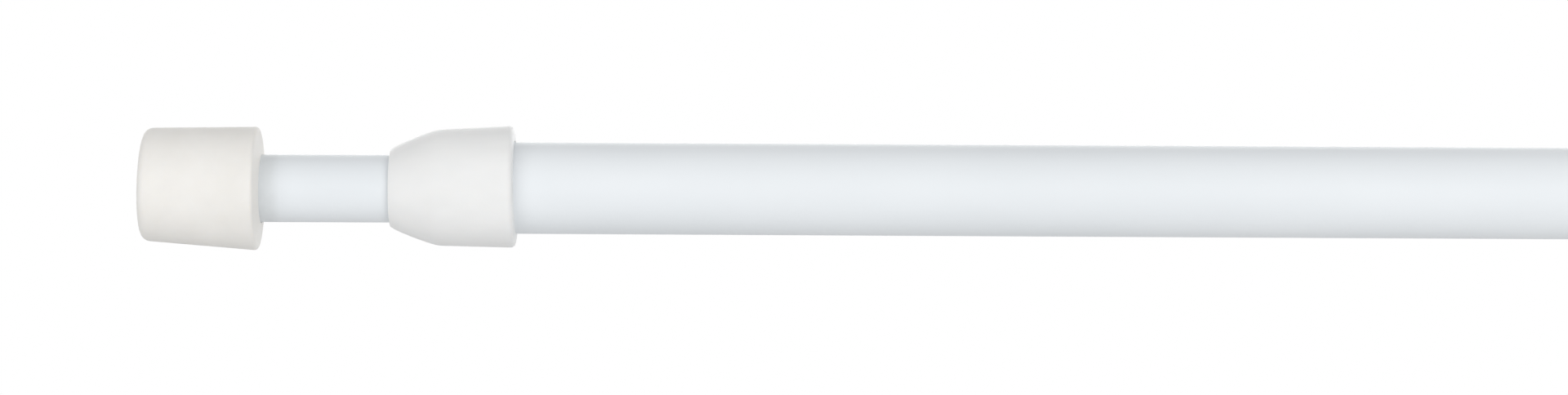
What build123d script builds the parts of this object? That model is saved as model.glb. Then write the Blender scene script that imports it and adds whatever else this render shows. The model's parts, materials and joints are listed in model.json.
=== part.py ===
"""Telescopic spring tension rod for a net curtain, in millimetres.

The rod lies along X. Its origin is the middle of the wall face of the thick tube's rubber foot,
+Z is up, and the thin tube slides out towards -X. It is drawn as it lies unused: the spring is
let out to its stop, the twist lock is open, and the lock stands at the closed end of the tube.
"""

import os
from math import cos, pi, radians, sin, tan

from build123d import *

# Overall size
closed_length = 300.0  # from wall face to wall face, with the spring let out

# Thin tube
inner_tube_radius = 4.1
inner_tube_wall = 0.4
exposed_length = 16.15  # of thin tube, between its foot and the collar
crimp_depth = 0.3
crimp_width = 1.4
crimp_setback = 6.0  # from the end of the tube to the middle of the crimp

# Thick tube, which takes its bore from the guide bush on the thin one
outer_tube_wall = 0.5

# Rubber feet
foot_length = 13.5
foot_face_wall = 1.29  # at the wall face, round the thick tube
foot_rim_wall = 1.95  # at the open end
foot_floor = 2.2  # rubber between the wall and the end of the tube
foot_face_rounding = 0.6
foot_collar_gap = 0.4  # left between foot and collar when the spring is pressed in
grip_groove_inset = 1.35  # of its middle, inside the thick tube's radius
grip_groove_width = 0.6
grip_groove_depth = 0.3

# Collar
collar_length = 14.95
collar_nose_wall = 0.5  # of the nose, round the hole for the thin tube
collar_nose_rounding = 0.35
collar_shoulder_at = 5.9  # from the nose
collar_shoulder_wall = 1.49  # round the thick tube
collar_bulge = 0.2  # of the flare, above a straight cone
collar_rim_wall = 1.84
collar_lip = 3.9  # from the nose to the mouth of the thick tube
collar_countersink = 0.35

# Tube end plugs
plug_head = 1.0
plug_depth = 7.0
plug_wall = 1.2

# Guide bush on the inner end of the thin tube
bush_wall = 0.87
bush_length = 32.0
bush_land = 5.0  # length of each raised end
bush_relief = 0.35  # depth of the waist between them

# Spring plug in the inner end of the thin tube
spring_plug_body = 12.0
spring_plug_flange = 2.0
pilot_length = 2.5
pilot_clearance = 0.25  # inside the spring

# Spring
wire_radius = 0.45
spring_room = 0.85  # between its outside and the thick tube's bore
spring_turns = 7
wire_sides = 8
runs_per_turn = 16  # each turn is this many straight runs
spring_length = 46.0

# Spindle
square_side = 3.6
spindle_flange_radius = 3.6
spindle_flange_width = 1.2
journal_radius = 1.75
stud_radius = 1.5
retainer_stud_length = 4.0
stud_proud = 0.6  # of the stop nut

# Washers, nuts and clip
spring_washer_room = 0.45  # between its edge and the thick tube's bore
spring_washer_width = 0.6
retainer_washer_room = 0.3  # between its edge and the thin tube's bore
retainer_washer_width = 0.8
nut_across_flats = 5.5
nut_width = 2.4
clip_room = 0.24  # between its edge and the collet
clip_width = 0.6
clip_groove_radius = 1.3
clip_mouth = 2.2  # width of the clip's opening

# Twist lock
sleeve_length = 16.0
sleeve_end_wall = 2.5
sleeve_wall = 1.63  # round the narrow end of its cone
sleeve_slots = 3
sleeve_slot_width = 1.3
sleeve_slot_length = 10.5
drag_ring_width = 1.2
drag_ring_depth = 0.9
drag_ring_clearance = 0.04
wedge_length = 9.0
wedge_slope = 7.0  # degrees
wedge_fin_width = 1.1
wedge_fin_inset = 0.25  # of its fins below the collet's outside
wedge_travel = 1.5  # along the stud, from open to locked
wedge_proud = 0.8  # of the collet's mouth when locked

# Clearances
slide_clearance = 0.08  # between what slides or turns and its bore
face_clearance = 0.1  # between end faces that pass or turn
stop_gap = 0.2  # at stops that are let go of
wedge_clearance = 0.04  # between the locked cone and the collet
square_clearance = 0.06
end_room = 1.0  # between the spindle's end and the end plug

# The tubes, one in the other, and what stands round the thick one
inner_bore_radius = inner_tube_radius - inner_tube_wall
slide_radius = inner_tube_radius + bush_wall
outer_bore_radius = slide_radius + slide_clearance
outer_tube_radius = outer_bore_radius + outer_tube_wall
foot_face_radius = outer_tube_radius + foot_face_wall
foot_rim_radius = outer_tube_radius + foot_rim_wall
grip_groove_radius = outer_tube_radius - grip_groove_inset
lip_bore = inner_tube_radius + slide_clearance
collar_nose_radius = lip_bore + collar_nose_wall
collar_shoulder_radius = outer_tube_radius + collar_shoulder_wall
collar_rim_radius = outer_tube_radius + collar_rim_wall

# What turns or slides inside them
spring_mean_radius = outer_bore_radius - spring_room - wire_radius
spring_washer_radius = outer_bore_radius - spring_washer_room
retainer_washer_radius = inner_bore_radius - retainer_washer_room
cavity_radius = slide_radius - sleeve_wall
wedge_tip_radius = cavity_radius - wedge_clearance
clip_radius = cavity_radius - clip_room

# Places along the rod, counted from the wall face of the thick tube's foot
outer_tube_end = -foot_floor - plug_head
stud_end = outer_tube_end - plug_depth + plug_head - end_room
stop_nut_face = stud_end - stud_proud - nut_width
wedge_back = stop_nut_face - stop_gap
wedge_tip = wedge_back - wedge_length
sleeve_mouth = wedge_back - wedge_travel - wedge_proud
sleeve_back = sleeve_mouth - sleeve_length
flange_face = sleeve_back - face_clearance
flange_back = flange_face - spindle_flange_width
spring_thrust_end = flange_back - spring_washer_width
spring_seat_end = spring_thrust_end - spring_length
plug_flange_face = spring_seat_end - spring_washer_width
inner_tube_inner_end = plug_flange_face - spring_plug_flange
spring_plug_tip = inner_tube_inner_end - spring_plug_body
square_tip = spring_plug_tip - stop_gap
bush_tip = inner_tube_inner_end - bush_length
inner_wall_face = -closed_length
inner_tube_outer_end = inner_wall_face + foot_floor + plug_head
inner_foot_rim = inner_wall_face + foot_length
collar_nose = inner_foot_rim + exposed_length
collar_rim = collar_nose + collar_length
outer_tube_mouth = collar_nose + collar_lip
extension_travel = bush_tip - outer_tube_mouth - stop_gap
spring_stroke = exposed_length - foot_collar_gap

os.makedirs("parts", exist_ok=True)


def turn(*corners, mode=Mode.ADD):
    """Turn an outline of (x, radius) corners round the rod's axis, into the open part."""
    with BuildSketch(Plane.XZ) as section:
        with BuildLine():
            Polyline(*corners, close=True)
        make_face()
    revolve(section.sketch, axis=Axis.X, mode=mode)


def ring(start, end, radius, bore, mode=Mode.ADD):
    """Turn a plain ring from start to end along X."""
    turn((start, bore), (end, bore), (end, radius), (start, radius), mode=mode)


def finish(part, name):
    """Label a finished piece and write its file."""
    part.label = name
    export_step(part, f"parts/{name}.step")


# The thick tube, rolled steel with a square-cut mouth
with BuildPart() as outer_tube:
    ring(outer_tube_mouth, outer_tube_end, outer_tube_radius, outer_bore_radius)
finish(outer_tube.part, "outer_tube")

# The thin tube, with a crimp rolled into the groove of the spring plug
crimp_middle = inner_tube_inner_end - crimp_setback
with BuildPart() as inner_tube:
    turn(
        (inner_tube_outer_end, inner_bore_radius),
        (crimp_middle - crimp_width / 2, inner_bore_radius),
        (crimp_middle, inner_bore_radius - crimp_depth),
        (crimp_middle + crimp_width / 2, inner_bore_radius),
        (inner_tube_inner_end, inner_bore_radius),
        (inner_tube_inner_end, inner_tube_radius),
        (crimp_middle + crimp_width / 2, inner_tube_radius),
        (crimp_middle, inner_tube_radius - crimp_depth),
        (crimp_middle - crimp_width / 2, inner_tube_radius),
        (inner_tube_outer_end, inner_tube_radius),
    )
finish(inner_tube.part, "inner_tube")


def build_foot(name, wall_face, towards_tube, tube_radius):
    """A moulded rubber foot: a tapered cup with a rounded wall face and one grip groove."""
    rim = wall_face + towards_tube * foot_length
    floor = wall_face + towards_tube * foot_floor
    groove_floor = wall_face + towards_tube * grip_groove_depth
    groove_outside = grip_groove_radius + grip_groove_width / 2
    groove_inside = grip_groove_radius - grip_groove_width / 2
    with BuildPart() as foot:
        turn((wall_face, 0), (wall_face, foot_face_radius), (rim, foot_rim_radius), (rim, 0))
        face_edge = foot.edges().sort_by(lambda edge: abs(edge.center().X - wall_face))[0]
        fillet(face_edge, foot_face_rounding)
        ring(floor, rim, tube_radius, 0, mode=Mode.SUBTRACT)
        ring(wall_face, groove_floor, groove_outside, groove_inside, mode=Mode.SUBTRACT)
    finish(foot.part, name)


build_foot("inner_end_cap", inner_wall_face, 1, inner_tube_radius)
build_foot("outer_end_cap", 0, -1, outer_tube_radius)


def build_end_plug(name, tube_end, towards_tube, tube_radius, bore_radius):
    """A plastic plug whose head covers the cut end of a tube, hollow from inside."""
    head = tube_end - towards_tube * plug_head
    tip = head + towards_tube * plug_depth
    hollow = bore_radius - plug_wall
    with BuildPart() as plug:
        turn(
            (head, 0),
            (head, tube_radius),
            (tube_end, tube_radius),
            (tube_end, bore_radius),
            (tip, bore_radius),
            (tip, hollow),
            (tube_end + towards_tube * plug_wall, hollow),
            (tube_end + towards_tube * plug_wall, 0),
        )
    finish(plug.part, name)


build_end_plug("inner_end_plug", inner_tube_outer_end, 1, inner_tube_radius, inner_bore_radius)
build_end_plug("outer_end_plug", outer_tube_end, -1, outer_tube_radius, outer_bore_radius)

# The collar: a convex flare with a blunt nose, then a slow taper to the rim
nose_corner = (collar_nose, collar_nose_radius)
flare_middle = (
    collar_nose + collar_shoulder_at / 2,
    (collar_nose_radius + collar_shoulder_radius) / 2 + collar_bulge,
)
shoulder = (collar_nose + collar_shoulder_at, collar_shoulder_radius)
rim_corner = (collar_rim, collar_rim_radius)
with BuildPart() as collar:
    with BuildSketch(Plane.XZ):
        with BuildLine():
            Line((collar_nose, 0), nose_corner)
            ThreePointArc(nose_corner, flare_middle, shoulder)
            Line(shoulder, rim_corner)
            Line(rim_corner, (collar_rim, 0))
            Line((collar_rim, 0), (collar_nose, 0))
        make_face()
    revolve(axis=Axis.X)
    nose_edge = collar.edges().sort_by(Axis.X)[0]
    fillet(nose_edge, collar_nose_rounding)
    turn(
        (collar_nose, 0),
        (collar_nose, lip_bore + collar_countersink),
        (collar_nose + collar_countersink, lip_bore),
        (outer_tube_mouth, lip_bore),
        (outer_tube_mouth, outer_tube_radius),
        (collar_rim, outer_tube_radius),
        (collar_rim, 0),
        mode=Mode.SUBTRACT,
    )
finish(collar.part, "collar")

# The guide bush: two lands that run in the thick tube, with a waist between them
waist_radius = slide_radius - bush_relief
with BuildPart() as guide_bush:
    turn(
        (bush_tip, inner_tube_radius),
        (bush_tip, slide_radius),
        (bush_tip + bush_land, slide_radius),
        (bush_tip + bush_land, waist_radius),
        (inner_tube_inner_end - bush_land, waist_radius),
        (inner_tube_inner_end - bush_land, slide_radius),
        (inner_tube_inner_end, slide_radius),
        (inner_tube_inner_end, inner_tube_radius),
    )
finish(guide_bush.part, "guide_bush")

# The spring plug: grooved for the crimp, flanged for the spring, with a square way through
pilot_radius = spring_mean_radius - wire_radius - pilot_clearance
square_way = square_side + 2 * square_clearance
with BuildPart() as spring_plug:
    turn(
        (spring_plug_tip, 0),
        (spring_plug_tip, inner_bore_radius),
        (crimp_middle - crimp_width / 2, inner_bore_radius),
        (crimp_middle, inner_bore_radius - crimp_depth),
        (crimp_middle + crimp_width / 2, inner_bore_radius),
        (inner_tube_inner_end, inner_bore_radius),
        (inner_tube_inner_end, slide_radius),
        (plug_flange_face, slide_radius),
        (plug_flange_face, pilot_radius),
        (plug_flange_face + pilot_length, pilot_radius),
        (plug_flange_face + pilot_length, 0),
    )
    with BuildSketch(Plane.YZ.offset(spring_plug_tip)):
        Rectangle(square_way, square_way)
    extrude(amount=2 * spring_plug_body, mode=Mode.SUBTRACT)
finish(spring_plug.part, "spring_plug")

# The steel washers at the two ends of the spring
square_corner_radius = square_side / 2**0.5
with BuildPart() as spring_seat_washer:
    ring(plug_flange_face, spring_seat_end, spring_washer_radius, pilot_radius)
finish(spring_seat_washer.part, "spring_seat_washer")
with BuildPart() as thrust_washer:
    ring(spring_thrust_end, flange_back, spring_washer_radius, square_corner_radius + square_clearance)
finish(thrust_washer.part, "thrust_washer")

# The spring, wound right-handed in short straight runs, with both ends ground flat
spring_pitch = spring_length / spring_turns
coil_start = spring_seat_end - wire_radius
coil_turns = spring_turns + 2 * wire_radius / spring_pitch
coil_points = []
for run in range(round(coil_turns * runs_per_turn) + 1):
    turned = 2 * pi * run / runs_per_turn
    along = coil_start + spring_pitch * run / runs_per_turn
    coil_points.append((along, spring_mean_radius * cos(turned), spring_mean_radius * sin(turned)))
with BuildPart() as spring:
    with BuildLine() as coil:
        Polyline(*coil_points)
    with BuildSketch(Plane(origin=coil.line @ 0, z_dir=coil.line % 0)):
        RegularPolygon(wire_radius, wire_sides)
    sweep(path=coil.line, transition=Transition.RIGHT)
    split(bisect_by=Plane.YZ.offset(spring_seat_end), keep=Keep.TOP)
    split(bisect_by=Plane.YZ.offset(spring_thrust_end), keep=Keep.BOTTOM)
finish(spring.part, "spring")

# The spindle: square bar, thrust flange, round journal and the stud that drives the wedge
sleeve_wall_face = sleeve_back + sleeve_end_wall
clip_start = sleeve_wall_face + face_clearance
with BuildPart() as spindle:
    with BuildSketch(Plane.YZ.offset(square_tip)):
        Rectangle(square_side, square_side)
    extrude(amount=flange_back - square_tip)
    turn(
        (square_tip - retainer_stud_length, 0),
        (square_tip - retainer_stud_length, stud_radius),
        (square_tip, stud_radius),
        (square_tip, 0),
    )
    turn(
        (flange_back, 0),
        (flange_back, spindle_flange_radius),
        (flange_face, spindle_flange_radius),
        (flange_face, journal_radius),
        (clip_start, journal_radius),
        (clip_start, clip_groove_radius),
        (clip_start + clip_width, clip_groove_radius),
        (clip_start + clip_width, journal_radius),
        (clip_start + 2 * clip_width, journal_radius),
        (clip_start + 2 * clip_width, stud_radius),
        (stud_end, stud_radius),
        (stud_end, 0),
    )
finish(spindle.part, "spindle")

# The spring-steel clip that keeps the spindle in the collet
with BuildPart() as retaining_clip:
    with BuildSketch(Plane.YZ.offset(clip_start)):
        Circle(clip_radius)
        Circle(clip_groove_radius, mode=Mode.SUBTRACT)
        with Locations((0, -clip_radius)):
            Rectangle(clip_mouth, 2 * clip_radius, mode=Mode.SUBTRACT)
    extrude(amount=clip_width)
finish(retaining_clip.part, "retaining_clip")

# The washer and nut that keep the plug on the spindle, and the nut that keeps the wedge on its stud
washer_start = square_tip - retainer_washer_width
with BuildPart() as retainer_washer:
    ring(washer_start, square_tip, retainer_washer_radius, stud_radius)
finish(retainer_washer.part, "retainer_washer")


def build_nut(name, start):
    """A small hexagon nut on the stud, from start to its own width along X."""
    with BuildPart() as nut:
        with BuildSketch(Plane.YZ.offset(start)):
            RegularPolygon(nut_across_flats / 2, 6, major_radius=False)
            Circle(stud_radius, mode=Mode.SUBTRACT)
        extrude(amount=nut_width)
    finish(nut.part, name)


build_nut("retainer_nut", washer_start - nut_width)
build_nut("stop_nut", stop_nut_face)

# The cone nut, with fins that run in the collet's slots so that it can't turn
wedge_taper = tan(radians(wedge_slope))
wedge_back_radius = wedge_tip_radius + wedge_length * wedge_taper
fin_radius = slide_radius - wedge_fin_inset
with BuildPart() as lock_wedge:
    turn(
        (wedge_tip, 0),
        (wedge_tip, wedge_tip_radius),
        (wedge_back, wedge_back_radius),
        (wedge_back, 0),
    )
    with BuildSketch(Plane.YZ.offset(wedge_tip)):
        with PolarLocations(fin_radius / 2, sleeve_slots):
            Rectangle(fin_radius, wedge_fin_width)
    extrude(amount=wedge_length)
    ring(wedge_tip, wedge_back, stud_radius + slide_clearance, 0, mode=Mode.SUBTRACT)
finish(lock_wedge.part, "lock_wedge")

# The collet: a slotted sleeve with a groove for the drag ring and a cone in its mouth
locked_tip = wedge_tip - wedge_travel
mouth_radius = cavity_radius + (sleeve_mouth - locked_tip) * wedge_taper
drag_ring_start = sleeve_back + (sleeve_end_wall - drag_ring_width) / 2
drag_ring_end = drag_ring_start + drag_ring_width
drag_ring_radius = outer_bore_radius - drag_ring_clearance
drag_ring_bore = drag_ring_radius - drag_ring_depth
with BuildPart() as lock_sleeve:
    turn(
        (sleeve_back, journal_radius + slide_clearance),
        (sleeve_back, slide_radius),
        (sleeve_mouth, slide_radius),
        (sleeve_mouth, mouth_radius),
        (locked_tip, cavity_radius),
        (sleeve_wall_face, cavity_radius),
        (sleeve_wall_face, journal_radius + slide_clearance),
    )
    ring(drag_ring_start, drag_ring_end, outer_bore_radius, drag_ring_bore, mode=Mode.SUBTRACT)
    with BuildSketch(Plane.YZ.offset(sleeve_mouth)):
        with PolarLocations(slide_radius / 2, sleeve_slots):
            Rectangle(slide_radius + 2 * slide_clearance, sleeve_slot_width)
    extrude(amount=-sleeve_slot_length, mode=Mode.SUBTRACT)
finish(lock_sleeve.part, "lock_sleeve")

# The rubber band that drags on the bore, so that the collet stands still while the spindle turns
with BuildPart() as drag_ring:
    ring(drag_ring_start, drag_ring_end, drag_ring_radius, drag_ring_bore)
finish(drag_ring.part, "drag_ring")

print("thin tube slides out by", round(extension_travel, 3), "mm")
print("collar nose at", round(collar_nose, 3), "and rim at", round(collar_rim, 3))
print("wedge moves", wedge_travel, "mm and the spring gives", round(spring_stroke, 3), "mm")
print("spring from", round(spring_seat_end, 3), "to", round(spring_thrust_end, 3))
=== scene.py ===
# %% [markdown]
# A spring tension rod for a net curtain, photographed from the front on white.
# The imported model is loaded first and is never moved: every piece made here is built around it,
# in metres, with the rod along X and its thick tube's foot at the origin.

# %% Load the frame
import json
import math

import bmesh
import bpy
from mathutils import Matrix, Vector


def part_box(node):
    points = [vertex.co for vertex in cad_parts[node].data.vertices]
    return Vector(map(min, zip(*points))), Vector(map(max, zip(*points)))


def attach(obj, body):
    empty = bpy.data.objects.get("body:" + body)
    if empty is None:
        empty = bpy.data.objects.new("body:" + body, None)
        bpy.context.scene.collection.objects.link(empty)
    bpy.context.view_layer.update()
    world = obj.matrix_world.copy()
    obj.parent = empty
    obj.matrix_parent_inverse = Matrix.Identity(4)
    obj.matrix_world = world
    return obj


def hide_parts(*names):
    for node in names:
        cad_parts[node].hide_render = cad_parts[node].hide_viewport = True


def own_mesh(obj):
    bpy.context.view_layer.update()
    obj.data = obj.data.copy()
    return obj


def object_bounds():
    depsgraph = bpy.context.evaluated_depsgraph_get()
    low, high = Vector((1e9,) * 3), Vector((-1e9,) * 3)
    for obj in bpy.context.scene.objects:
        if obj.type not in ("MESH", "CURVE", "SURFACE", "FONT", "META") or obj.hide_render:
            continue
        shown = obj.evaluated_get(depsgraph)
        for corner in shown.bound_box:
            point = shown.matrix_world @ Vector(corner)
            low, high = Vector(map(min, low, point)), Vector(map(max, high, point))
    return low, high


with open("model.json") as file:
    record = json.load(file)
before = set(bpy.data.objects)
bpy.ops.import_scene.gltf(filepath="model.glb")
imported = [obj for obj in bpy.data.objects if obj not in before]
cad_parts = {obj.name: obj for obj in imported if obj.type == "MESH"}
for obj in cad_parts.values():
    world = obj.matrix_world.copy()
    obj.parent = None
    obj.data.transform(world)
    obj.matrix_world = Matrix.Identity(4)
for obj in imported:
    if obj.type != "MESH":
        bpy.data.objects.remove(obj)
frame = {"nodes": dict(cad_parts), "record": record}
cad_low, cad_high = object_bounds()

MM = 0.001
nodes = frame["nodes"]

# %% [markdown]
# The camera comes first, because everything else is judged through it.
# The photograph was taken with a long lens from a little over half a metre, so the far foot's
# open end shows as a thin crescent. Two things seen in the picture place the camera: how many
# pixels a millimetre of the rod takes, and the column where the thin tube's foot ends.
# The rod hangs a hair off level in the picture, which is a small roll of the camera.

# %% Camera at the photograph's viewing angle
PHOTO_WIDTH = 1920
PIXELS_PER_MM = 10.09
FOCAL_PIXELS = 5660
FOOT_FACE_COLUMN = 177.4  # pixel column of the foot's wall face
AXIS_ABOVE_MIDDLE = 9.8  # pixels, at the middle of the picture
ROD_DROP = math.radians(0.30)  # to the right
SENSOR = 36.0

foot_low, foot_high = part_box("inner_end_cap")
camera_data = bpy.data.cameras.new("camera")
camera_data.sensor_width = SENSOR
camera_data.lens = SENSOR * FOCAL_PIXELS / PHOTO_WIDTH
camera_distance = FOCAL_PIXELS / PIXELS_PER_MM * MM
camera_x = foot_low.x + (PHOTO_WIDTH / 2 - FOOT_FACE_COLUMN) / PIXELS_PER_MM * MM
camera_z = -AXIS_ABOVE_MIDDLE / PIXELS_PER_MM * MM
camera = bpy.data.objects.new("camera", camera_data)
level = Matrix.Rotation(math.radians(90), 4, "X") @ Matrix.Rotation(ROD_DROP, 4, "Z")
camera.matrix_world = Matrix.Translation((camera_x, -camera_distance, camera_z)) @ level
bpy.context.scene.collection.objects.link(camera)
bpy.context.scene.camera = camera
bpy.context.scene.view_settings.view_transform = "Standard"
print("camera", round(camera_data.lens, 1), "mm lens at", tuple(round(v, 4) for v in camera.location))

# %% [markdown]
# Materials and Geometry Nodes are both trees of nodes, and both get hard to read when every node
# takes five lines. Two small classes keep them short. `Wire` wraps an output socket, so that
# `1 - mask * 0.2` adds the Math nodes by itself. `NodeTree` adds any other node in one call, from
# its type, its settings and what goes into its sockets.

# %% Sockets that can be reckoned with, and trees that make nodes
class Wire:
    """An output socket of a node tree, with Python's operators."""

    def __init__(self, owner, socket):
        self.owner = owner
        self.socket = socket

    def math(self, operation, *values):
        return self.owner.node("ShaderNodeMath", {"operation": operation}, dict(enumerate(values)))

    def __add__(self, other):
        return self.math("ADD", self, other)

    def __radd__(self, other):
        return self.math("ADD", other, self)

    def __sub__(self, other):
        return self.math("SUBTRACT", self, other)

    def __rsub__(self, other):
        return self.math("SUBTRACT", other, self)

    def __mul__(self, other):
        return self.math("MULTIPLY", self, other)

    def __rmul__(self, other):
        return self.math("MULTIPLY", other, self)

    def __truediv__(self, other):
        return self.math("DIVIDE", self, other)


class NodeTree:
    """A node tree of a material or a Geometry Nodes group."""

    def __init__(self, tree):
        self.tree = tree

    def node(self, kind, settings=None, inputs=None, output=0):
        """Add a node: its settings first, then its sockets. Returns one output as a Wire."""
        made = self.tree.nodes.new(kind)
        for name, value in (settings or {}).items():
            if name == "stops":
                set_stops(made.color_ramp, value)
            else:
                setattr(made, name, value)
        for name, value in (inputs or {}).items():
            if isinstance(value, Wire):
                self.tree.links.new(value.socket, made.inputs[name])
            else:
                made.inputs[name].default_value = value
        return Wire(self, made.outputs[output]) if len(made.outputs) else None


def set_stops(ramp, stops):
    """Give a colour ramp its (position, grey) stops."""
    while len(ramp.elements) < len(stops):
        ramp.elements.new(1.0)
    for element, (position, grey) in zip(ramp.elements, stops):
        element.position = position
        element.color = (grey, grey, grey, 1)


print("node helpers ready")

# %% [markdown]
# A finish is one material. Its colours are given as sRGB numbers, the way a picture editor shows
# them, and turned into the linear ones that Blender's sockets hold.

# %% A finish, with the few steps that all finishes share
def as_linear(colour):
    """An sRGB colour as the linear one that a socket holds. A Wire passes through."""
    if isinstance(colour, Wire):
        return colour
    bent = [c / 12.92 if c <= 0.04045 else ((c + 0.055) / 1.055) ** 2.4 for c in colour]
    return (*bent, 1.0)


class Finish(NodeTree):
    """One material and the nodes that make it."""

    def __init__(self, name):
        self.material = bpy.data.materials.new(name)
        self.material.use_nodes = True
        super().__init__(self.material.node_tree)
        self.tree.nodes.clear()
        self.place = self.node("ShaderNodeTexCoord", output="Object")

    def noise(self, size, detail=3.0, roughness=0.5, stretch=(1, 1, 1)):
        """Noise in blotches about this many metres across, drawn out along the axes."""
        scale = [1 / s for s in stretch]
        drawn = self.node("ShaderNodeMapping", {}, {"Vector": self.place, "Scale": scale})
        inputs = {"Vector": drawn, "Scale": 1 / size, "Detail": detail, "Roughness": roughness}
        return self.node("ShaderNodeTexNoise", {}, inputs)

    def ramp(self, value, stops):
        """Bend a value through (position, grey) stops."""
        return self.node("ShaderNodeValToRGB", {"stops": stops}, {"Fac": value})

    def blend(self, factor, first, second):
        """Mix two colours."""
        inputs = {0: factor, 6: as_linear(first), 7: as_linear(second)}
        return self.node("ShaderNodeMix", {"data_type": "RGBA"}, inputs, output=2)

    def mottled(self, noise, first, second, low=0.3, high=0.7):
        """Two colours in soft patches, mixed where a noise lies between low and high."""
        return self.blend(self.ramp(noise, [(low, 0), (high, 1)]), first, second)

    def along(self, axis):
        """One of the point's three coordinates, in metres."""
        return self.node("ShaderNodeSeparateXYZ", {}, {0: self.place}, axis)

    def fine_line(self, distance, width):
        """1 where a distance is nothing, fading to 0 at this many metres to either side."""
        return self.ramp(distance.math("ABSOLUTE", distance) / width, [(0.0, 1), (0.4, 0.8), (1.0, 0)])

    def bump(self, height, depth, before=None):
        """A relief this many metres deep, on top of one made before."""
        inputs = {"Height": height, "Distance": depth, "Strength": 1.0}
        if before:
            inputs["Normal"] = before
        return self.node("ShaderNodeBump", {}, inputs)

    def surface(self, sockets):
        """Close the finish with one Principled shader."""
        shader = self.node("ShaderNodeBsdfPrincipled", {}, sockets)
        self.node("ShaderNodeOutputMaterial", {}, {"Surface": shader})
        return self.material


def swing(noise, amount):
    """A noise as a swing of this much about nothing."""
    return (noise - 0.5) * amount


print("finish helpers ready")

# %% [markdown]
# The tubes are steel strip, rolled, welded and dipped in white lacquer. Close to, such a lacquer
# is never flat: it has a faint orange peel, the strip's long rolling marks show through it as
# slow changes of gloss, and its white is a little cold. Two marks have their own place on the
# tube, so the finish reads each point's coordinates. The strip's seam is a fine sunk line, turned
# to the back, and beside the near foot a grey band of painted shade stands for the foot's shadow.

# %% White lacquer of the two tubes
LACQUER_SHADE = (0.915, 0.932, 0.945)
LACQUER_WHITE = (0.935, 0.95, 0.962)
SEAM_GREY = (0.80, 0.82, 0.835)
SEAM_SHARE = 0.6  # of that grey in the seam's colour
SEAM_WIDTH = 0.14 * MM  # to either side
SEAM_DEPTH = 0.05 * MM
# Painted shade: a grey band on the thin tube beside the near foot, where the foot's shadow falls.
FOOT_SHADOW_GREY = (0.886, 0.902, 0.912)
FOOT_SHADOW_SETBACK = 1.45 * MM  # of its middle from the foot
FOOT_SHADOW_WIDTH = 1.8 * MM  # to either side
PEEL_DEPTH = 0.006 * MM
GRAIN_DEPTH = 0.0012 * MM


def white_lacquer():
    """Cold white lacquer on rolled strip."""
    lacquer = Finish("white_lacquer")
    peel = lacquer.noise(1.1 * MM, detail=2.0)
    rolled = lacquer.noise(0.7 * MM, detail=3.0, stretch=(60, 1, 1))
    cloudy = lacquer.noise(14 * MM, detail=2.0, stretch=(2.5, 1, 1))
    grain = lacquer.noise(0.12 * MM, detail=1.0)
    depth = lacquer.along("Y")
    at_back = depth.math("GREATER_THAN", depth, 0.0)
    seam = lacquer.fine_line(lacquer.along("Z"), SEAM_WIDTH) * at_back
    # The band of painted shade beside the near foot, where the foot's shadow falls on the tube.
    painted_foot_shadow = lacquer.fine_line(lacquer.along("X") - (foot_high.x + FOOT_SHADOW_SETBACK), FOOT_SHADOW_WIDTH)
    colour = lacquer.mottled(cloudy, LACQUER_SHADE, LACQUER_WHITE)
    colour = lacquer.blend(seam * SEAM_SHARE, colour, SEAM_GREY)
    # The painted shade darkens the lacquer to grey in that band.
    colour = lacquer.blend(painted_foot_shadow * (0.5 + peel), colour, FOOT_SHADOW_GREY)
    relief = lacquer.bump(peel + rolled * 0.5, PEEL_DEPTH)
    relief = lacquer.bump(grain, GRAIN_DEPTH, relief)
    relief = lacquer.bump(1 - seam, SEAM_DEPTH, relief)
    return lacquer.surface(
        {
            "Base Color": colour,
            "Roughness": 0.45 + swing(rolled, 0.10) + swing(cloudy, 0.06),
            "Normal": relief,
            "IOR": 1.48,
            "Specular IOR Level": 0.25,
        }
    )


print("white lacquer ready")

# %% [markdown]
# The feet are soft white rubber, filled with chalk, so they are warmer than the lacquer and quite
# dull. The mould leaves a fine sandy grain, some slow unevenness, and here and there a pit. It has
# two halves, and where they met a thread of flash runs along the top and the bottom of the piece,
# just where the photograph can't show it.

# %% White rubber of the feet
RUBBER_SHADE = (0.94, 0.932, 0.915)
RUBBER_WHITE = (0.96, 0.952, 0.937)
FLASH_WIDTH = 0.1 * MM  # to either side
FLASH_HEIGHT = 0.03 * MM
PIT_SPACING = 0.9 * MM
PIT_SIZE = 0.09  # share of that spacing


def white_rubber():
    """Warm, dull rubber with a moulded grain."""
    rubber = Finish("white_rubber")
    sandy = rubber.noise(0.16 * MM, detail=4.0, roughness=0.6)
    uneven = rubber.noise(2.6 * MM, detail=2.0)
    blotches = rubber.noise(5 * MM, detail=3.0)
    cells = {"Vector": rubber.place, "Scale": 1 / PIT_SPACING}
    pits = rubber.node("ShaderNodeTexVoronoi", {}, cells)
    pitted = rubber.ramp(pits, [(0.0, 0), (PIT_SIZE, 1)])
    flash = rubber.fine_line(rubber.along("Y"), FLASH_WIDTH)
    relief = rubber.bump(uneven, 0.03 * MM)
    relief = rubber.bump(sandy * 0.6 + pitted * 0.4, 0.012 * MM, relief)
    relief = rubber.bump(flash, FLASH_HEIGHT, relief)
    return rubber.surface(
        {
            "Base Color": rubber.mottled(blotches, RUBBER_SHADE, RUBBER_WHITE),
            "Roughness": 0.62 + swing(sandy, 0.2) + swing(uneven, 0.08),
            "Normal": relief,
            "Specular IOR Level": 0.1,
            "Subsurface Weight": 0.3,
            "Subsurface Radius": (1.0, 0.95, 0.85),
            "Subsurface Scale": 0.3 * MM,
        }
    )


print("white rubber ready")

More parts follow.
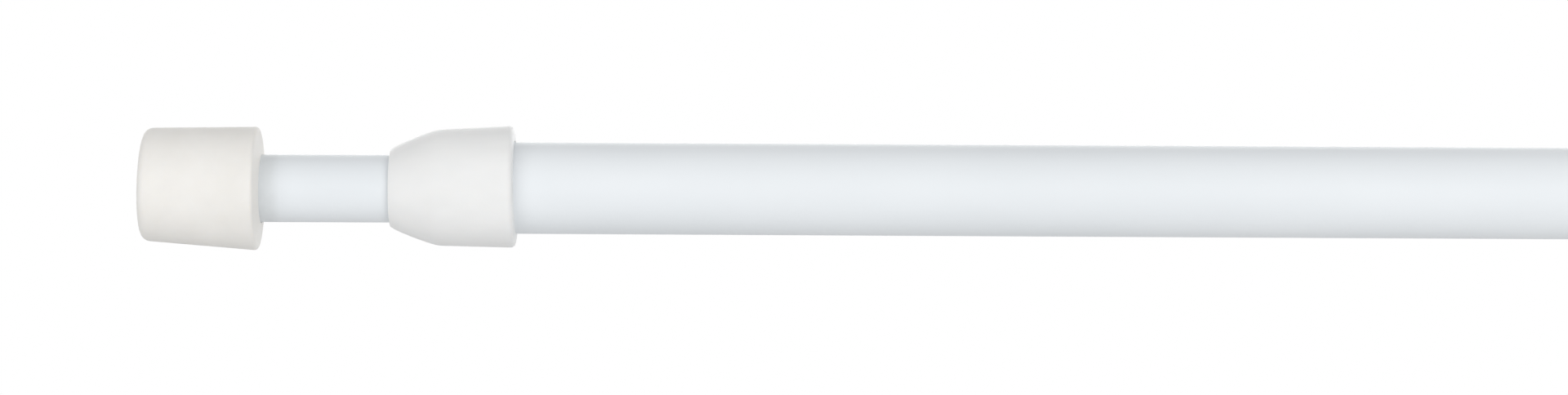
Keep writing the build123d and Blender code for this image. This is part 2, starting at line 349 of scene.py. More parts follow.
# %% [markdown]
# The collar is injection-moulded: a neutral white plastic with a spark-eroded satin skin and a
# little light inside it, which a touch of subsurface scattering gives. Its mould had two halves
# as well, and met more closely.

# %% White plastic of the collar
PLASTIC_SHADE = (0.94, 0.942, 0.94)
PLASTIC_WHITE = (0.955, 0.957, 0.955)


def white_plastic():
    """Neutral satin plastic."""
    plastic = Finish("white_plastic")
    skin = plastic.noise(0.2 * MM, detail=3.0)
    flow = plastic.noise(4 * MM, detail=2.0, stretch=(2, 1, 1))
    flash = plastic.fine_line(plastic.along("Y"), FLASH_WIDTH)
    relief = plastic.bump(flow, 0.02 * MM)
    relief = plastic.bump(skin, 0.006 * MM, relief)
    relief = plastic.bump(flash, FLASH_HEIGHT / 2, relief)
    return plastic.surface(
        {
            "Base Color": plastic.mottled(flow, PLASTIC_SHADE, PLASTIC_WHITE),
            "Roughness": 0.46 + swing(skin, 0.16),
            "Normal": relief,
            "Specular IOR Level": 0.1,
            "Subsurface Weight": 0.3,
            "Subsurface Radius": (1.0, 0.95, 0.9),
            "Subsurface Scale": 0.3 * MM,
        }
    )


print("white plastic ready")

# %% [markdown]
# The plugs, the bush, the collet and the wedge are unpainted nylon, ivory and slightly oily.

# %% Natural nylon inside the tubes
NYLON_SHADE = (0.89, 0.87, 0.80)
NYLON_IVORY = (0.93, 0.915, 0.86)


def natural_nylon():
    """Unpainted ivory nylon."""
    nylon = Finish("natural_nylon")
    skin = nylon.noise(0.25 * MM, detail=3.0)
    flow = nylon.noise(3 * MM, detail=2.0, stretch=(3, 1, 1))
    return nylon.surface(
        {
            "Base Color": nylon.mottled(flow, NYLON_SHADE, NYLON_IVORY),
            "Roughness": 0.38 + swing(skin, 0.15),
            "Normal": nylon.bump(skin * 0.5 + flow * 0.5, 0.01 * MM),
            "IOR": 1.53,
            "Subsurface Weight": 0.2,
            "Subsurface Scale": 0.5 * MM,
        }
    )


print("natural nylon ready")

# %% [markdown]
# The spindle, its washers and its nuts are zinc-plated steel: a bluish grey metal whose plating
# is finely mottled. The spring and its clip are darker, oiled spring steel, drawn lengthwise.

# %% Zinc plate and spring steel
ZINC_DARK = (0.72, 0.74, 0.77)
ZINC_BRIGHT = (0.83, 0.84, 0.85)
STEEL_DARK = (0.42, 0.42, 0.44)
STEEL_BRIGHT = (0.58, 0.58, 0.59)
TOOL_MARK_DEPTH = 0.004 * MM


def zinc_plate():
    """Bright zinc over turned steel."""
    zinc = Finish("zinc_plate")
    mottle = zinc.noise(0.8 * MM, detail=4.0, roughness=0.6)
    turned_marks = zinc.noise(0.15 * MM, detail=2.0, stretch=(1, 6, 6))
    return zinc.surface(
        {
            "Base Color": zinc.mottled(mottle, ZINC_DARK, ZINC_BRIGHT, 0.35, 0.65),
            "Roughness": 0.28 + mottle * 0.16,
            "Normal": zinc.bump(turned_marks, TOOL_MARK_DEPTH),
            "Metallic": 1.0,
        }
    )


def spring_wire():
    """Oiled wire with the marks of drawing."""
    wire = Finish("spring_wire")
    drawn = wire.noise(0.08 * MM, detail=2.0, stretch=(1, 8, 8))
    oil = wire.noise(2 * MM, detail=3.0)
    return wire.surface(
        {
            "Base Color": wire.mottled(oil, STEEL_DARK, STEEL_BRIGHT, 0.35, 0.65),
            "Roughness": 0.25 + oil * 0.2,
            "Normal": wire.bump(drawn, TOOL_MARK_DEPTH),
            "Metallic": 1.0,
        }
    )


print("metals ready")

# %% [markdown]
# The band that drags on the tube's bore is soft black rubber with a dusty bloom. With it all the
# finishes are there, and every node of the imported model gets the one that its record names.

# %% Black rubber, and a finish for every node
RUBBER_BLACK = (0.10, 0.10, 0.10)
RUBBER_BLOOM = (0.17, 0.17, 0.165)


def black_rubber():
    """Soft black rubber with a bloom."""
    rubber = Finish("black_rubber")
    bloom = rubber.noise(1.2 * MM, detail=4.0)
    sandy = rubber.noise(0.1 * MM, detail=3.0)
    return rubber.surface(
        {
            "Base Color": rubber.mottled(bloom, RUBBER_BLACK, RUBBER_BLOOM, 0.4, 0.7),
            "Roughness": 0.7 + swing(sandy, 0.2),
            "Normal": rubber.bump(sandy, 0.01 * MM),
        }
    )


FINISHES = {
    "white_lacquer": white_lacquer(),
    "white_rubber": white_rubber(),
    "white_plastic": white_plastic(),
    "natural_plastic": natural_nylon(),
    "zinc_steel": zinc_plate(),
    "spring_steel": spring_wire(),
    "dark_rubber": black_rubber(),
}
slot_of = {part["node"]: part["material_slot"] for part in frame["record"]["subparts"]}
for name, node in nodes.items():
    node.data.materials.clear()
    node.data.materials.append(FINISHES[slot_of[name]])
print("finishes:", ", ".join(FINISHES))

# %% [markdown]
# Almost every piece of the rod is round and lies on one axis, so one rule makes them all: an
# outline of (x, radius) points, turned. In Blender this could be the Screw modifier, but the
# photographed foot and collar are moulded soft or pushed on a little askew, and a plain turning
# can't lean. So a Geometry Nodes tree does it. This class opens such a tree with its inputs,
# closes it, and runs it on a mesh. What it makes is kept as a plain mesh.

# %% A tree that shapes a piece
class Shaper(NodeTree):
    """One Geometry Nodes tree, from its inputs to the mesh that it makes."""

    def __init__(self, name, kinds):
        super().__init__(bpy.data.node_groups.new(name, "GeometryNodeTree"))
        interface = self.tree.interface
        self.identifiers = {}
        for label, kind in kinds.items():
            socket = interface.new_socket(name=label, in_out="INPUT", socket_type=kind)
            self.identifiers[label] = socket.identifier
        interface.new_socket(name="Piece", in_out="OUTPUT", socket_type="NodeSocketGeometry")
        given = self.tree.nodes.new("NodeGroupInput")
        self.given = [Wire(self, given.outputs[label]) for label in kinds]

    def close(self, geometry, finish):
        """Smooth the piece, make it real, give it its finish and hand it out."""
        smooth = self.node("GeometryNodeSetShadeSmooth", {}, {"Geometry": geometry})
        real = self.node("GeometryNodeRealizeInstances", {}, {"Geometry": smooth})
        dressed = self.node("GeometryNodeSetMaterial", {}, {"Geometry": real, "Material": finish})
        self.node("NodeGroupOutput", {}, {"Piece": dressed})

    def run(self, seed, values):
        """The plain mesh that the tree makes of a seed mesh."""
        blank = bpy.data.objects.new(self.tree.name, seed)
        bpy.context.scene.collection.objects.link(blank)
        modifier = blank.modifiers.new(self.tree.name, "NODES")
        modifier.node_group = self.tree
        for label, value in values.items():
            modifier[self.identifiers[label]] = value
        evaluated = blank.evaluated_get(bpy.context.evaluated_depsgraph_get())
        mesh = bpy.data.meshes.new_from_object(evaluated)
        bpy.data.objects.remove(blank)
        return mesh


print("shaper ready")

# %% [markdown]
# The turning tree lays out a grid, one row for each point of the outline, and puts every grid
# point at its angle. Two numbers carried by each outline point bend the turning: "rise" lifts
# that row's centre, and "slant" leans the row over.

# %% The turning tree
TURNING_INPUTS = {
    "Outline": "NodeSocketGeometry",
    "Segments": "NodeSocketInt",
    "Finish": "NodeSocketMaterial",
}
POLE_WELD = 0.0005 * MM


def build_turning():
    """The tree that turns an outline about X."""
    tree = Shaper("turned piece", TURNING_INPUTS)
    outline, segments, finish = tree.given
    rows = tree.node("GeometryNodeAttributeDomainSize", {}, {"Geometry": outline}, "Point Count")
    columns = segments + 1
    grid = tree.node("GeometryNodeMeshGrid", {}, {"Vertices X": rows, "Vertices Y": columns})
    index = tree.node("GeometryNodeInputIndex")
    row = (index / columns).math("FLOOR", index / columns)
    angle = (index - row * columns) / segments * math.tau

    def carried(kind, value):
        """What the outline point of this row carries."""
        settings = {"data_type": kind, "domain": "POINT"}
        inputs = {"Geometry": outline, "Value": value, "Index": row}
        return tree.node("GeometryNodeSampleIndex", settings, inputs)

    def named(name):
        """A number that the outline's points hold under a name."""
        settings = {"data_type": "FLOAT"}
        return tree.node("GeometryNodeInputNamedAttribute", settings, {"Name": name})

    place = carried("FLOAT_VECTOR", tree.node("GeometryNodeInputPosition"))
    x = tree.node("ShaderNodeSeparateXYZ", {}, {0: place}, "X")
    radius = tree.node("ShaderNodeSeparateXYZ", {}, {0: place}, "Y")
    up = radius * angle.math("COSINE", angle)
    out = radius * angle.math("SINE", angle)
    leaned = x + carried("FLOAT", named("slant")) * up
    lifted = up + carried("FLOAT", named("rise"))
    spot = tree.node("ShaderNodeCombineXYZ", {}, {"X": leaned, "Y": out, "Z": lifted})
    turned = tree.node("GeometryNodeSetPosition", {}, {"Geometry": grid, "Position": spot})
    weld = {"Geometry": turned, "Distance": POLE_WELD}
    tree.close(tree.node("GeometryNodeMergeByDistance", {}, weld), finish)
    return tree


turning = build_turning()
print("turning tree:", len(turning.tree.nodes), "nodes, inputs", ", ".join(TURNING_INPUTS))

# %% [markdown]
# A real edge is never sharp: moulded rubber rounds off at half a millimetre, cut steel at about a
# tenth. The outlines are written as plain corners with a rounding each. This cell turns a corner
# into a short arc, and adds a point just before and after it, so that smooth shading stays flat
# on the faces beside the arc.

# %% Outlines with rounded corners
ARC_STEPS = 5
ARC_SHARE = 0.45  # of a side, the most that an arc takes
SUPPORT_REACH = 1.7  # times the arc's own, where its support points lie
SUPPORT_SHARE = 0.5  # of a side, the farthest that they lie


def arc_at(before, corner, after, rounding):
    """Points of the arc that rounds a corner, with one support point on either side."""
    corner = Vector(corner)
    to_before = Vector(before) - corner
    to_after = Vector(after) - corner
    half = to_before.angle(to_after) / 2
    room = min(to_before.length, to_after.length) * ARC_SHARE
    reach = min(rounding / math.tan(half), room)
    radius = reach * math.tan(half)
    into = (to_before.normalized() + to_after.normalized()).normalized()
    centre = corner + into * (radius / math.sin(half))
    first = corner + to_before.normalized() * reach - centre
    last = corner + to_after.normalized() * reach - centre
    sweep = first.angle_signed(last)
    turns = [Matrix.Rotation(-sweep * step / ARC_STEPS, 2) for step in range(ARC_STEPS + 1)]
    points = [centre + turn @ first for turn in turns]

    def support(side):
        """The support point along one side."""
        distance = min(reach * SUPPORT_REACH, side.length * SUPPORT_SHARE)
        return corner + side.normalized() * distance

    return [support(to_before), *points, support(to_after)]


def rounded(corners):
    """A closed outline of (x, radius, rounding) corners in millimetres, as points in metres."""
    points = []
    for number, (x, radius, rounding) in enumerate(corners):
        before = corners[number - 1][:2]
        after = corners[(number + 1) % len(corners)][:2]
        if rounding:
            points += arc_at(before, (x, radius), after, rounding)
        else:
            points.append(Vector((x, radius)))
    return [point * MM for point in points]


square = rounded([(0, 1, 0.1), (1, 1, 0.1), (1, 2, 0.1), (0, 2, 0.1)])
print("a square of four rounded corners has", len(square), "points")

# %% [markdown]
# The next cell makes a finished piece of an outline and puts it in a node's place. An outline that
# starts and ends on the axis is left open, so its poles close by themselves. The other ones are
# closed by repeating their first point. Normals are recalculated outward at the end, because
# whether a turning comes out inside out depends on which way its outline ran.

# %% Turn an outline into a finished piece
PIECE_SEGMENTS = 128
ON_AXIS = 1e-9  # radius that counts as none
WELD = 0.0002 * MM


def turned_mesh(name, outline, finish, segments, rise, slant):
    """The plain mesh that the turning tree makes of an outline in metres."""
    on_axis = abs(outline[0].y) < ON_AXIS and abs(outline[-1].y) < ON_AXIS
    path = outline if on_axis else [*outline, outline[0]]
    seed = bpy.data.meshes.new(name + " outline")
    seed.from_pydata([(p.x, p.y, 0) for p in path], [], [])
    for label, rule in (("rise", rise), ("slant", slant)):
        carried = seed.attributes.new(label, "FLOAT", "POINT")
        carried.data.foreach_set("value", [rule(p.x) for p in path])
    return turning.run(seed, {"Segments": segments, "Finish": finish})


def outward(mesh):
    """Point all faces outwards."""
    shape = bmesh.new()
    shape.from_mesh(mesh)
    bmesh.ops.remove_doubles(shape, verts=shape.verts, dist=WELD)
    bmesh.ops.dissolve_degenerate(shape, edges=shape.edges, dist=WELD)
    bmesh.ops.recalc_face_normals(shape, faces=shape.faces)
    shape.to_mesh(mesh)
    shape.free()
    return mesh


def place(name, mesh, node):
    """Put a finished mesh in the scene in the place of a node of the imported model."""
    mesh.name = name
    piece = bpy.data.objects.new(name, mesh)
    bpy.context.scene.collection.objects.link(piece)
    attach(piece, body_of[node])
    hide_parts(node)
    print(name, "has", sum(len(face.vertices) - 2 for face in mesh.polygons), "triangles")
    return piece


def level_all_along(x):
    """The rule of a piece that neither rises nor slants."""
    return 0.0


def turn(name, outline, node, segments=PIECE_SEGMENTS, rise=level_all_along, slant=level_all_along):
    """Turn an outline and put it in a node's place, in that node's finish."""
    mesh = turned_mesh(name, outline, FINISHES[slot_of[node]], segments, rise, slant)
    return place(name, outward(mesh), node)


def between(first, last, share):
    """The value this share of the way from the first to the last."""
    return first + (last - first) * share


body_of = {}
for body, members in frame["record"]["behaviour"]["bodies"].items():
    body_of.update(dict.fromkeys(members, body))
print("bodies:", ", ".join(sorted(set(body_of.values()))))

# %% [markdown]
# The two tubes are rolled steel, open at both ends, cut off square and deburred. Only their
# outside shows, but each has its bore and its wall, because the thin one runs inside the thick
# one. The thin tube has a crimp rolled into it near its inner end, where it grips the spring's
# plug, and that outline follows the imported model's. Its outer end hangs a fifth of a
# millimetre low, as it does in the picture, because the bush that guides it has some play.

# %% The two tubes
TUBE_SEGMENTS = 192
OUTER_WALL = 0.5
OUTER_EDGE = 0.12  # rounding of its ends
OUTER_BORE_EDGE = 0.08
INNER_WALL = 0.4
INNER_EDGE = 0.1
INNER_BORE_EDGE = 0.06
CRIMP_SETBACK = 6.0  # from the tube's inner end to the middle of its crimp
CRIMP_WIDTH = 1.4
CRIMP_DEPTH = 0.3
CRIMP_ROUNDING = 0.3
TUBE_DROOP = -0.19 * MM  # of its outer end, from the play in the guide bush

outer_low, outer_high = (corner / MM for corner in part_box("outer_tube"))
turn(
    "thick_tube",
    rounded(
        [
            (outer_low.x, outer_high.z - OUTER_WALL, OUTER_BORE_EDGE),
            (outer_low.x, outer_high.z, OUTER_EDGE),
            (outer_high.x, outer_high.z, OUTER_EDGE),
            (outer_high.x, outer_high.z - OUTER_WALL, OUTER_BORE_EDGE),
        ]
    ),
    "outer_tube",
    segments=TUBE_SEGMENTS,
)

inner_low, inner_high = (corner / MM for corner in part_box("inner_tube"))
crimp = inner_high.x - CRIMP_SETBACK
bore = inner_high.z - INNER_WALL


def droop(x):
    """How far the thin tube hangs low, from nothing at its inner end."""
    return TUBE_DROOP * (inner_high.x - x / MM) / (inner_high.x - inner_low.x)


turn(
    "thin_tube",
    rounded(
        [
            (inner_low.x, bore, INNER_BORE_EDGE),
            (inner_low.x, inner_high.z, INNER_EDGE),
            (crimp - CRIMP_WIDTH / 2, inner_high.z, CRIMP_ROUNDING),
            (crimp, inner_high.z - CRIMP_DEPTH, CRIMP_ROUNDING),
            (crimp + CRIMP_WIDTH / 2, inner_high.z, CRIMP_ROUNDING),
            (inner_high.x, inner_high.z, INNER_EDGE),
            (inner_high.x, bore, INNER_BORE_EDGE),
            (crimp + CRIMP_WIDTH / 2, bore, CRIMP_ROUNDING),
            (crimp, bore - CRIMP_DEPTH, CRIMP_ROUNDING),
            (crimp - CRIMP_WIDTH / 2, bore, CRIMP_ROUNDING),
        ]
    ),
    "inner_tube",
    segments=TUBE_SEGMENTS,
    rise=droop,
)

# %% [markdown]
# The foot at the photograph's left end is a soft tapered cup, pushed on by hand. In the picture
# its wall face sits a quarter of a millimetre high and its open rim a fifth low, and both lean in
# at the top, by one and a half and by a third of a degree. The rim isn't flat either: it rises
# half a millimetre from its edge to the tube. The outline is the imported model's, with the moulded
# roundings that a CAD edge leaves out. The far foot is the same moulding on the thick tube, set
# straight and stretched flatter.

# %% The two rubber feet
FOOT_FACE = 6.84  # radius at the wall
FOOT_FLOOR = 2.2  # rubber between the wall and the end of the tube
GRIP_GROOVE = 4.2  # middle of the ring groove in the wall face
GRIP_WIDTH = 0.6
GRIP_DEPTH = 0.3
GRIP_EDGE = 0.12  # rounding where the groove starts
GRIP_CORNER = 0.1  # and on its floor
FACE_ROUNDING = 1.3
RIM_ROUNDING = 0.45
RIM_CROWN = 0.5  # that the open rim rises from its edge to the tube
MOUTH_ROUNDING = 0.15
FLOOR_ROUNDING = 0.2
FACE_RISE = 0.24 * MM
RIM_RISE = -0.21 * MM
FACE_LEAN = math.tan(math.radians(1.6))
RIM_LEAN = math.tan(math.radians(0.35))
FACE_REACH = 0.21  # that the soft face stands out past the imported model's
RIM_REACH = 0.25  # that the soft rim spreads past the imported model's


def foot_outline(wall, rim, rim_radius, bore, crown):
    """A foot's outline from the middle of its wall face, round the rim, to the floor of its bore."""
    inward = 1 if rim > wall else -1
    groove = wall + inward * GRIP_DEPTH
    floor = wall + inward * FOOT_FLOOR
    corners = [
        (wall, 0, 0),
        (wall, GRIP_GROOVE - GRIP_WIDTH / 2, GRIP_EDGE),
        (groove, GRIP_GROOVE - GRIP_WIDTH / 2, GRIP_CORNER),
        (groove, GRIP_GROOVE + GRIP_WIDTH / 2, GRIP_CORNER),
        (wall, GRIP_GROOVE + GRIP_WIDTH / 2, GRIP_EDGE),
        (wall, FOOT_FACE, FACE_ROUNDING),
        (rim, rim_radius, RIM_ROUNDING),
        (rim + inward * crown, bore, MOUTH_ROUNDING),
        (floor, bore, FLOOR_ROUNDING),
        (floor, 0, 0),
    ]
    return rounded(corners)


def along_foot(x):
    """0 at the near foot's wall face, 1 at its rim."""
    return (x - foot_low.x) / (foot_high.x - foot_low.x)


near_foot = turn(
    "near_foot",
    foot_outline(
        wall=foot_low.x / MM - FACE_REACH,
        rim=foot_high.x / MM + RIM_REACH,
        rim_radius=foot_high.z / MM,
        bore=inner_high.z,
        crown=RIM_CROWN,
    ),
    "inner_end_cap",
    rise=lambda x: between(FACE_RISE, RIM_RISE, along_foot(x)),
    slant=lambda x: between(FACE_LEAN, RIM_LEAN, along_foot(x)),
)
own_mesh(near_foot)

far_low, far_high = (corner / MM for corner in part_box("outer_end_cap"))
turn(
    "far_foot",
    foot_outline(
        wall=far_high.x,
        rim=far_low.x,
        rim_radius=far_high.z,
        bore=outer_high.z,
        crown=RIM_CROWN / 2,
    ),
    "outer_end_cap",
)

# %% [markdown]
# The collar hides the mouth of the thick tube. Its flare bulges a little from a blunt nose to a
# soft shoulder, then it tapers slowly up to a rim that is a little crowned. It was also pushed on
# a touch askew: its nose sits a tenth of a millimetre low, it rises by a degree from there, and
# its rim was moulded at a slant of a degree. Its lip leaves the thin tube a fifth of a millimetre
# of room all round, because that tube droops and still has to turn in it.

# %% The collar
COLLAR_SHOULDER_AT = 5.9  # from the nose
COLLAR_SHOULDER = 7.04
COLLAR_NOSE = 4.68
COLLAR_BULGE = 0.15
COLLAR_LIP = 3.9  # from the nose to the mouth of the tube
COLLAR_LEAN = math.tan(math.radians(0.95))
COLLAR_DROP = -0.10 * MM  # of its nose
COLLAR_SLANT = math.tan(math.radians(1.0))
COLLAR_CROWN = 0.18  # that its rim rises from its edge to the tube
NOSE_SET = 0.18  # that the blunt nose stands back
RIM_SET = 0.24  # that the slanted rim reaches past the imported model's
LIP_CLEARANCE = 0.21  # round the thin tube
LIP_CHAMFER = 0.2
LIP_EDGE = 0.06  # rounding of the chamfer's two edges
NOSE_ROUNDING = 0.42
SHOULDER_ROUNDING = 6.0
COLLAR_RIM_ROUNDING = 0.6
COLLAR_BORE_EDGE = 0.1
FLARE_STEPS = 8

collar_low, collar_high = (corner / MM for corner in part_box("collar"))
lip_bore = inner_high.z + LIP_CLEARANCE


def flare(share):
    """A point of the collar's flare, from the nose at 0 to the shoulder at 1."""
    bulge = 4 * COLLAR_BULGE * share * (1 - share)
    radius = between(COLLAR_NOSE, COLLAR_SHOULDER, share) + bulge
    return (collar_low.x + COLLAR_SHOULDER_AT * share, radius, 0)


def along_collar(x):
    """0 at the collar's nose, 1 at its rim."""
    return (x / MM - collar_low.x) / (collar_high.x - collar_low.x)


turn(
    "collar_ferrule",
    rounded(
        [
            (collar_low.x + NOSE_SET, lip_bore + LIP_CHAMFER, LIP_EDGE),
            (collar_low.x + NOSE_SET, COLLAR_NOSE, NOSE_ROUNDING),
            *[flare(step / FLARE_STEPS) for step in range(1, FLARE_STEPS - 1)],
            (*flare(1)[:2], SHOULDER_ROUNDING),
            (collar_high.x + RIM_SET, collar_high.z, COLLAR_RIM_ROUNDING),
            (collar_high.x + RIM_SET + COLLAR_CROWN, outer_high.z, COLLAR_BORE_EDGE),
            (collar_low.x + COLLAR_LIP, outer_high.z, 0),
            (collar_low.x + COLLAR_LIP, lip_bore, 0),
            (collar_low.x + NOSE_SET + LIP_CHAMFER, lip_bore, LIP_EDGE),
        ]
    ),
    "collar",
    rise=lambda x: COLLAR_DROP + COLLAR_LEAN * (x - collar_low.x * MM),
    slant=lambda x: -COLLAR_SLANT * along_collar(x),
)

# %% [markdown]
# Inside the tubes lies the spring that presses the feet against the walls. It is wound from round
# wire in even turns, with one closed turn at each end that is ground flat to sit on its washer.
# A spring is a rule through and through, so a Geometry Nodes tree winds it: it puts the points of
# a line on a helix, whose pitch is the wire's own thickness in the closed turns and wide between
# them. Then it sweeps a circle along that line, and presses whatever passes either end back into
# its plane, which is what grinding does.

# %% The coil tree
COIL_NUMBERS = ("Start", "Length", "Turns", "Closed Turns", "Coil Radius", "Wire Radius")
POINTS_PER_TURN = 40
PITCH_EASE = 0.25  # turns over which the pitch changes
WIRE_SIDES = 20


def build_winding():
    """The tree that winds a closed and ground spring along X."""
    numbers = dict.fromkeys(COIL_NUMBERS, "NodeSocketFloat")
    tree = Shaper("wound spring", {**numbers, "Finish": "NodeSocketMaterial"})
    start, length, turns, closed, coil_radius, wire_radius, finish = tree.given

    thickness = wire_radius * 2
    open_turns = turns - closed * 2
    widening = (length - turns * thickness) / open_turns
    turned = tree.node("GeometryNodeInputIndex") / POINTS_PER_TURN
    past_closed = turned.math("SMOOTH_MAX", turned - closed, 0.0, PITCH_EASE)
    opened = past_closed.math("SMOOTH_MIN", past_closed, open_turns, PITCH_EASE)
    angle = turned * math.tau
    x = start + turned * thickness + opened * widening
    y = coil_radius * angle.math("COSINE", angle)
    z = coil_radius * angle.math("SINE", angle)
    spot = tree.node("ShaderNodeCombineXYZ", {}, {"X": x, "Y": y, "Z": z})

    line = tree.node("GeometryNodeMeshLine", {}, {"Count": turns * POINTS_PER_TURN + 1})
    helix = tree.node("GeometryNodeSetPosition", {}, {"Geometry": line, "Position": spot})
    path = tree.node("GeometryNodeMeshToCurve", {}, {"Mesh": helix})
    circle = {"Resolution": WIRE_SIDES, "Radius": wire_radius}
    section = tree.node("GeometryNodeCurvePrimitiveCircle", {}, circle)
    sweep = {"Curve": path, "Profile Curve": section, "Fill Caps": True}
    swept = tree.node("GeometryNodeCurveToMesh", {}, sweep)

    here = tree.node("GeometryNodeInputPosition")
    along, across, up = (tree.node("ShaderNodeSeparateXYZ", {}, {0: here}, axis) for axis in "XYZ")
    inside = along.math("MINIMUM", along.math("MAXIMUM", along, start), start + length)
    pressed = tree.node("ShaderNodeCombineXYZ", {}, {"X": inside, "Y": across, "Z": up})
    ground = tree.node("GeometryNodeSetPosition", {}, {"Geometry": swept, "Position": pressed})
    tree.close(ground, finish)
    return tree


winding = build_winding()
print("coil tree:", len(winding.tree.nodes), "nodes, inputs", ", ".join(COIL_NUMBERS))

# %% [markdown]
# The spring lies between its two washers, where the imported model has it.

# %% The spring
WIRE_RADIUS = 0.45 * MM
SPRING_TURNS = 9.0
CLOSED_TURNS = 1.0

spring_low, spring_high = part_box("spring")
spring_length = spring_high.x - spring_low.x
joints = {joint["name"]: joint for joint in frame["record"]["behaviour"]["joints"]}
pressed_length = spring_length + joints["spring_stroke"]["range_m"][0]
coil_mesh = winding.run(
    bpy.data.meshes.new("spring coil"),
    {
        "Start": spring_low.x,
        "Length": spring_length,
        "Turns": SPRING_TURNS,
        "Closed Turns": CLOSED_TURNS,
        "Coil Radius": spring_high.z - WIRE_RADIUS,
        "Wire Radius": WIRE_RADIUS,
        "Finish": FINISHES["spring_steel"],
    },
)
coil = place("coil_spring", outward(coil_mesh), "spring")
pressed_length / spring_length
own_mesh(coil)
print("spring", round(spring_length / MM, 1), "mm long, pressed to", round(pressed_length / MM, 1), "mm")

# %% [markdown]
# Light. The photograph is a catalogue shot: a white cove all round the rod and a broad soft lamp
# on either side of the camera, the left one further out. That they stand apart shows where the
# tube is darker beside the foot, the nose and the rim, each of which hides one of them. The world
# is therefore a plain white that the camera sees at full strength, while as a light it is weaker.
# Two softboxes in front do the rest, and a third one stands behind, for whoever walks round the
# rod.

# %% World and lamps
COVE_STRENGTH = 0.46
FRONT_POWER = 2.40
BACK_POWER = 3.0
LAMP_WIDTH = 0.64
LAMP_HEIGHT = 0.5
LAMP_DISTANCE = 0.70
LAMP_RISE = 0.10
LEFT_SPREAD = 0.52
RIGHT_SPREAD = 0.43
BACK_RISE = 0.25


def seen_directly(owner):
    """1 for rays that come from the camera, a reflection or clear plastic, 0 for light."""
    camera_ray = owner.node("ShaderNodeLightPath", output="Is Camera Ray")
    glossy_ray = owner.node("ShaderNodeLightPath", output="Is Glossy Ray")
    clear_ray = owner.node("ShaderNodeLightPath", output="Is Transmission Ray")
    return camera_ray.math("MAXIMUM", camera_ray.math("MAXIMUM", camera_ray, glossy_ray), clear_ray)


world = bpy.data.worlds.new("white_cove")
bpy.context.scene.world = world
world.use_nodes = True
world.node_tree.nodes.clear()
cove = NodeTree(world.node_tree)
strength = COVE_STRENGTH + seen_directly(cove) * (1 - COVE_STRENGTH)
sky = cove.node("ShaderNodeBackground", {}, {"Color": (1, 1, 1, 1), "Strength": strength})
cove.node("ShaderNodeOutputWorld", {}, {"Surface": sky})


def add_softbox(name, power, width, place):
    """A broad soft lamp that the camera doesn't see, aimed at the near end of the rod."""
    data = bpy.data.lights.new(name, "AREA")
    data.shape = "RECTANGLE"
    data.size = width
    data.size_y = LAMP_HEIGHT
    data.energy = power
    softbox = bpy.data.objects.new(name, data)
    softbox.location = place
    aim = Vector((camera_x, 0, 0)) - softbox.location
    softbox.rotation_euler = aim.to_track_quat("-Z", "Y").to_euler()
    softbox.visible_camera = False
    bpy.context.scene.collection.objects.link(softbox)


left_place = (camera_x - LEFT_SPREAD, -LAMP_DISTANCE, LAMP_RISE)
right_place = (camera_x + RIGHT_SPREAD, -LAMP_DISTANCE, LAMP_RISE)
add_softbox("left_softbox", FRONT_POWER, LAMP_WIDTH, left_place)
add_softbox("right_softbox", FRONT_POWER, LAMP_WIDTH, right_place)
add_softbox("back_softbox", BACK_POWER, 2 * LAMP_WIDTH, (camera_x, LAMP_DISTANCE, BACK_RISE))
print("cove at", COVE_STRENGTH, "and lamps of", FRONT_POWER, "and", BACK_POWER, "W")

# %% [markdown]
# The picture has no shadow, because the rod hangs well above a white sweep. A floor lies 80 mm
# below it, out of the main view, and takes the rod's soft shadow in every other one. It is round
# and fades to the cove's white at its edge, so that no line shows where it stops.

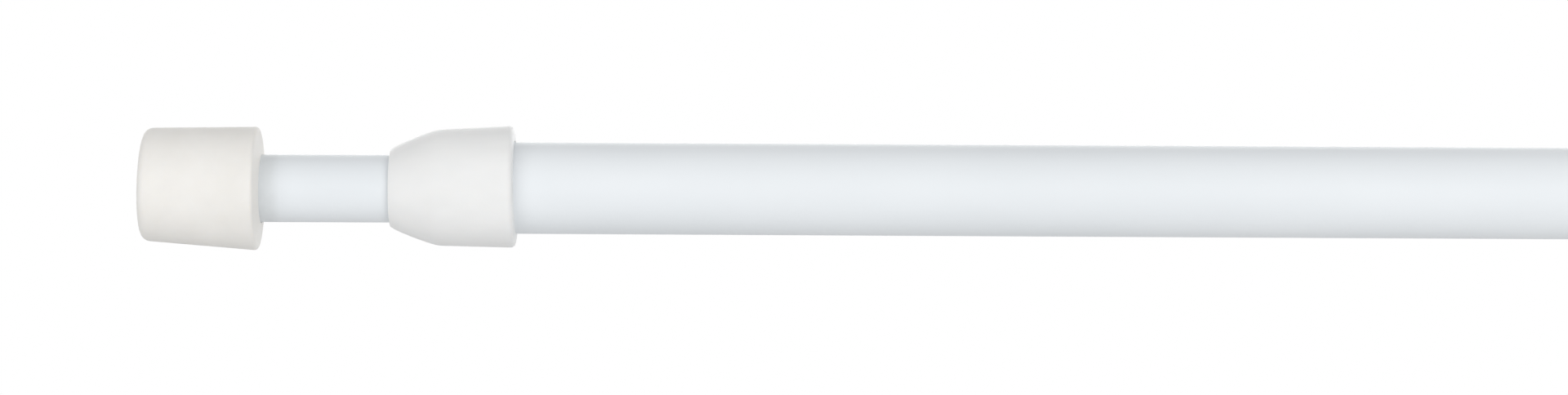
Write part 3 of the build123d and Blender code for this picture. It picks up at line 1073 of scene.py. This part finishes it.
# %% Floor
FLOOR_DROP = 80 * MM
FLOOR_RADIUS = 0.45
FLOOR_SIDES = 96
FLOOR_GLOW = 0.75  # share of plain white that the camera and reflections see in it
FADE_START = 0.55  # share of its radius
FADE_END = 0.98
PAPER_SHADE = (0.90, 0.90, 0.90)
PAPER_WHITE = (0.93, 0.93, 0.93)

floor_middle = (cad_low + cad_high) / 2
floor_middle.z = -FLOOR_DROP


def floor_finish():
    """White paper that glows a little for the camera and fades out at the edge."""
    paper = Finish("white_paper")
    fibres = paper.noise(0.8 * MM, detail=4.0)
    clouds = paper.noise(60 * MM, detail=2.0)
    sheet = {
        "Base Color": paper.blend(clouds, PAPER_SHADE, PAPER_WHITE),
        "Roughness": 0.85,
        "Normal": paper.bump(fibres, 0.02 * MM),
    }
    lit = paper.node("ShaderNodeBsdfPrincipled", {}, sheet)
    glow = paper.node("ShaderNodeEmission", {}, {"Color": (1, 1, 1, 1), "Strength": 1.0})
    share = seen_directly(paper) * FLOOR_GLOW
    shader = paper.node("ShaderNodeMixShader", {}, {0: share, 1: lit, 2: glow})
    shift = [-floor_middle.x, 0, 0]
    centred = paper.node("ShaderNodeMapping", {}, {"Vector": paper.place, "Location": shift})
    flat = paper.node("ShaderNodeVectorMath", {"operation": "MULTIPLY"}, {0: centred, 1: (1, 1, 0)})
    reach = paper.node("ShaderNodeVectorMath", {"operation": "LENGTH"}, {0: flat}, "Value")
    fade = paper.ramp(reach / FLOOR_RADIUS, [(FADE_START, 0), (FADE_END, 1)])
    clear = paper.node("ShaderNodeBsdfTransparent")
    mixed = paper.node("ShaderNodeMixShader", {}, {0: fade, 1: shader, 2: clear})
    paper.node("ShaderNodeOutputMaterial", {}, {"Surface": mixed})
    return paper.material


floor_mesh = bpy.data.meshes.new("floor")
shape = bmesh.new()
bmesh.ops.create_circle(shape, cap_ends=True, segments=FLOOR_SIDES, radius=FLOOR_RADIUS)
bmesh.ops.translate(shape, verts=shape.verts, vec=floor_middle)
shape.to_mesh(floor_mesh)
shape.free()
floor_mesh.materials.append(floor_finish())
floor = bpy.data.objects.new("floor", floor_mesh)
bpy.context.scene.collection.objects.link(floor)
print("floor", round(FLOOR_RADIUS * 2, 2), "m across,", FLOOR_DROP / MM, "mm below the rod")
